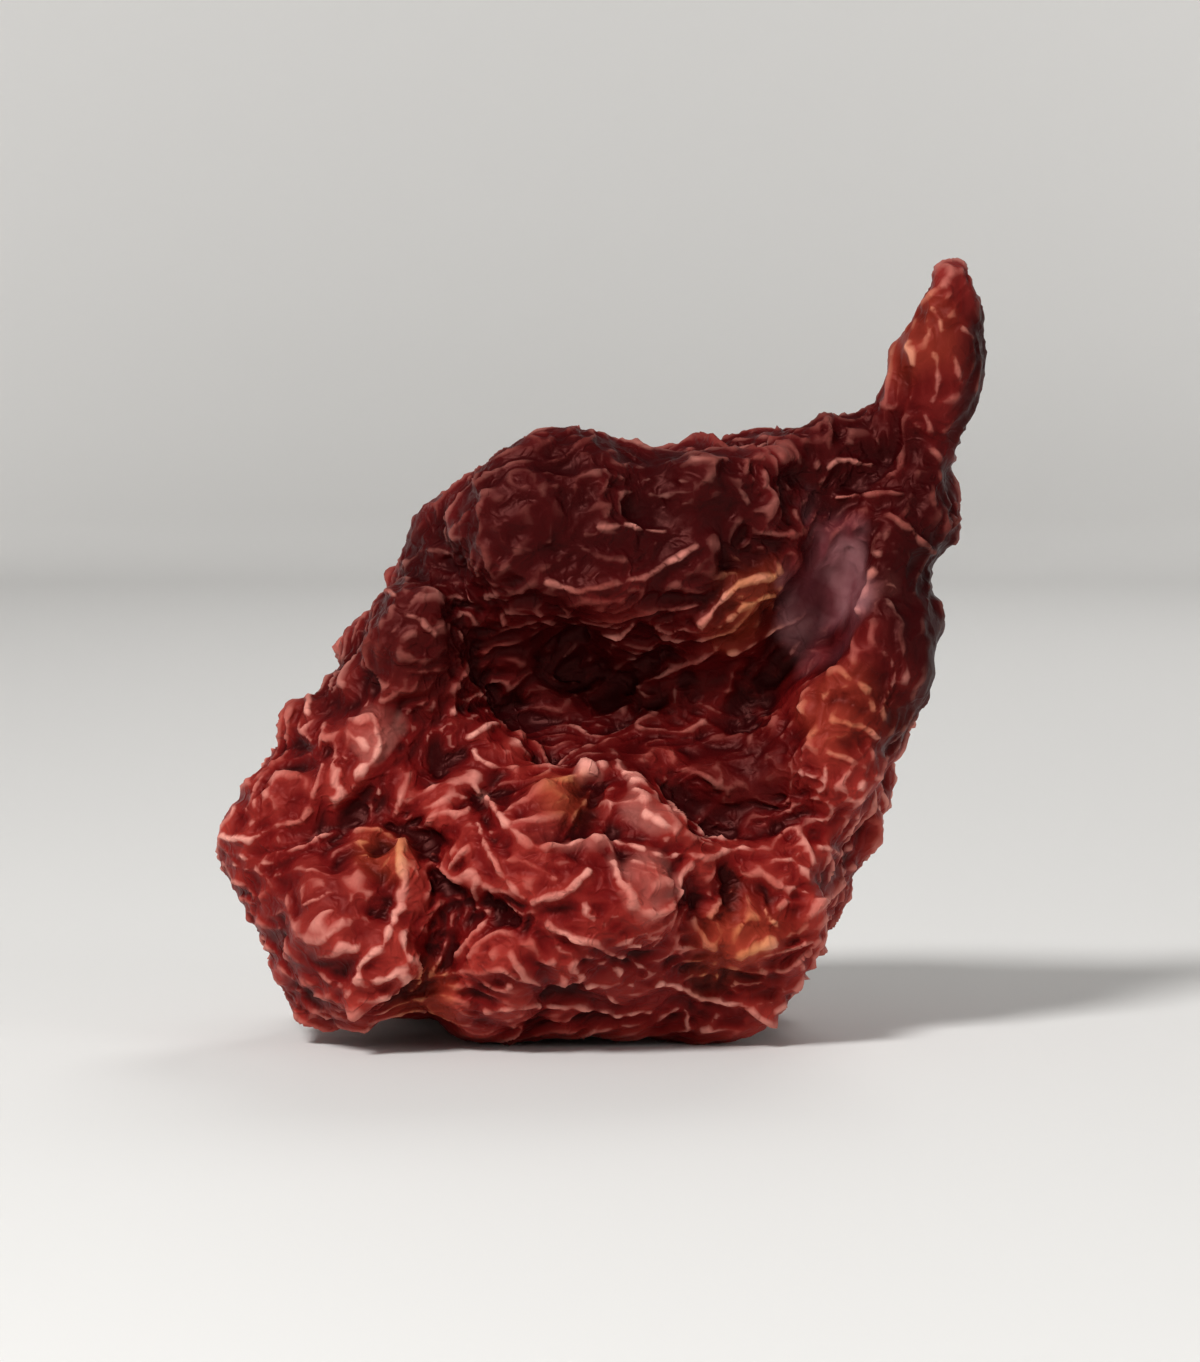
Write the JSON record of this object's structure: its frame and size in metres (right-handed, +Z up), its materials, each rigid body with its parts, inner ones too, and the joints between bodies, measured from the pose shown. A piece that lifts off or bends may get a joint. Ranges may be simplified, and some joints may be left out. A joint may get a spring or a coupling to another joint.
{
  "type": "dried hot pepper",
  "caption": "Whole sun-shrunken carolina reaper pepper: a lobed, crinkled pod folded round a deep hollow, with its pointed tail and a withered calyx and stalk.",
  "frame": {"origin": "on the surface that the pepper rests on, under the middle of its box", "axes": "+Z up, -Y towards the viewer with the hollow, +X to the right, where the tail stands"},
  "size_m": [0.0274, 0.0212, 0.0275],
  "materials": {
    "pod_skin": "dried pepper skin, dark red and waxy, paler and more orange on its crests",
    "dried_stem": "dried calyx and stalk, dull olive tan"
  },
  "bodies": {
    "root": {"pod": "pod_skin", "stem": "dried_stem"}
  },
  "joints": []
}
